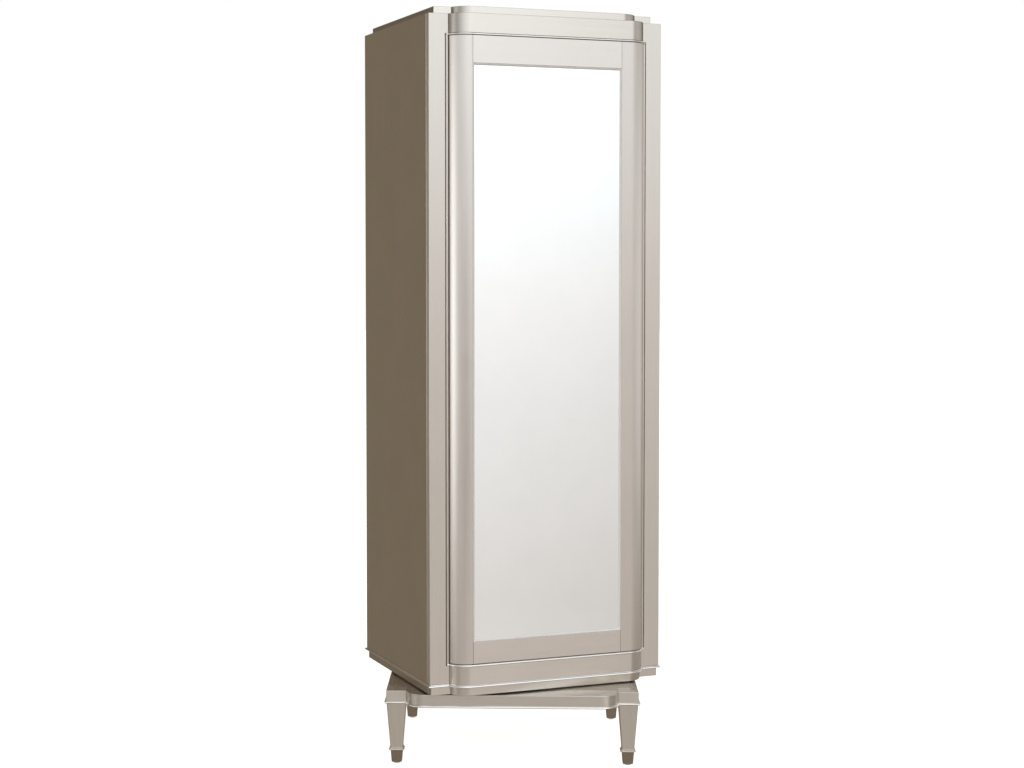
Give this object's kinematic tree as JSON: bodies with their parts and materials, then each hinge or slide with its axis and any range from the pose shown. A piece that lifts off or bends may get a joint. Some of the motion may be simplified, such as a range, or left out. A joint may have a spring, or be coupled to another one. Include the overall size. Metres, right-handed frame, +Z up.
{
  "type": "swivel armoire",
  "caption": "Tall narrow armoire with a breakfront mirrored door and fitted shelves, turning on a low base with tapered legs.",
  "frame": {"origin": "on the swivel axis at floor level; the box's middle is about 2 mm in front of it, because the base's front is bulged", "axes": "+Z up along the swivel axis; -Y the way the closed door faces; +X to the right as one looks at the door. The base is stored turned 23.1 degrees clockwise from above under the case, as pictured"},
  "size_m": [0.793, 0.735, 1.881],
  "materials": {
    "champagne_paint": "satin champagne metallic lacquer over wood",
    "inner_paint": "matt lacquer over board",
    "silver_bead": "burnished silver lacquer over a wooden moulding",
    "bronze": "dark bronzed satin",
    "steel": "plated",
    "mirror_glass": "polished silvered glass",
    "backing_board": "raw fibreboard",
    "nylon": "smooth pale nylon"
  },
  "bodies": {
    "base": {"base_top": "champagne_paint", "front_apron": "champagne_paint", "left_apron": "champagne_paint", "right_apron": "champagne_paint", "back_apron": "champagne_paint", "base_bead": "silver_bead", "front_left_leg": "champagne_paint", "front_left_ring": "champagne_paint", "front_left_ferrule": "bronze", "front_left_glide": "nylon", "front_right_leg": "champagne_paint", "front_right_ring": "champagne_paint", "front_right_ferrule": "bronze", "front_right_glide": "nylon", "rear_left_leg": "champagne_paint", "rear_left_ring": "champagne_paint", "rear_left_ferrule": "bronze", "rear_left_glide": "nylon", "rear_right_leg": "champagne_paint", "rear_right_ring": "champagne_paint", "rear_right_ferrule": "bronze", "rear_right_glide": "nylon", "bearing_lower_plate": "steel"},
    "case": {"bearing_upper_plate": "steel", "bearing_packer": "inner_paint", "plinth_front": "champagne_paint", "plinth_left": "champagne_paint", "plinth_right": "champagne_paint", "plinth_back": "champagne_paint", "bottom_moulding": "silver_bead", "lower_frieze": "champagne_paint", "sill_bead": "silver_bead", "head_bead": "silver_bead", "upper_frieze": "champagne_paint", "left_post": "champagne_paint", "right_post": "champagne_paint", "left_bead": "silver_bead", "right_bead": "silver_bead", "left_panel": "champagne_paint", "right_panel": "champagne_paint", "back_panel": "inner_paint", "case_top": "inner_paint", "case_floor": "inner_paint", "shelf_1": "inner_paint", "shelf_2": "inner_paint", "shelf_3": "inner_paint", "cap": "champagne_paint", "top_pivot": "steel", "bottom_pivot": "steel", "latch_housing": "nylon"},
    "door": {"left_stile": "champagne_paint", "right_stile": "champagne_paint", "top_rail": "champagne_paint", "bottom_rail": "champagne_paint", "mirror": "mirror_glass", "mirror_backing": "backing_board", "mirror_trim": "champagne_paint", "strike_plate": "steel"},
    "latch": {"latch_plunger": "nylon"}
  },
  "joints": [
    {"name": "swivel", "type": "hinge", "parent": "base", "child": "case", "pos_m": [0, 0, 0.195], "axis": [0, 0, 1], "continuous": true},
    {"name": "door_hinge", "type": "hinge", "parent": "case", "child": "door", "pos_m": [0.225, -0.225, 1.04], "axis": [0, 0, 1], "range_deg": [0, 110]},
    {"name": "latch_push", "type": "slide", "parent": "case", "child": "latch", "axis": [0, 1, 0], "range_m": [0, 0.003], "stiffness_N_per_m": 300}
  ]
}
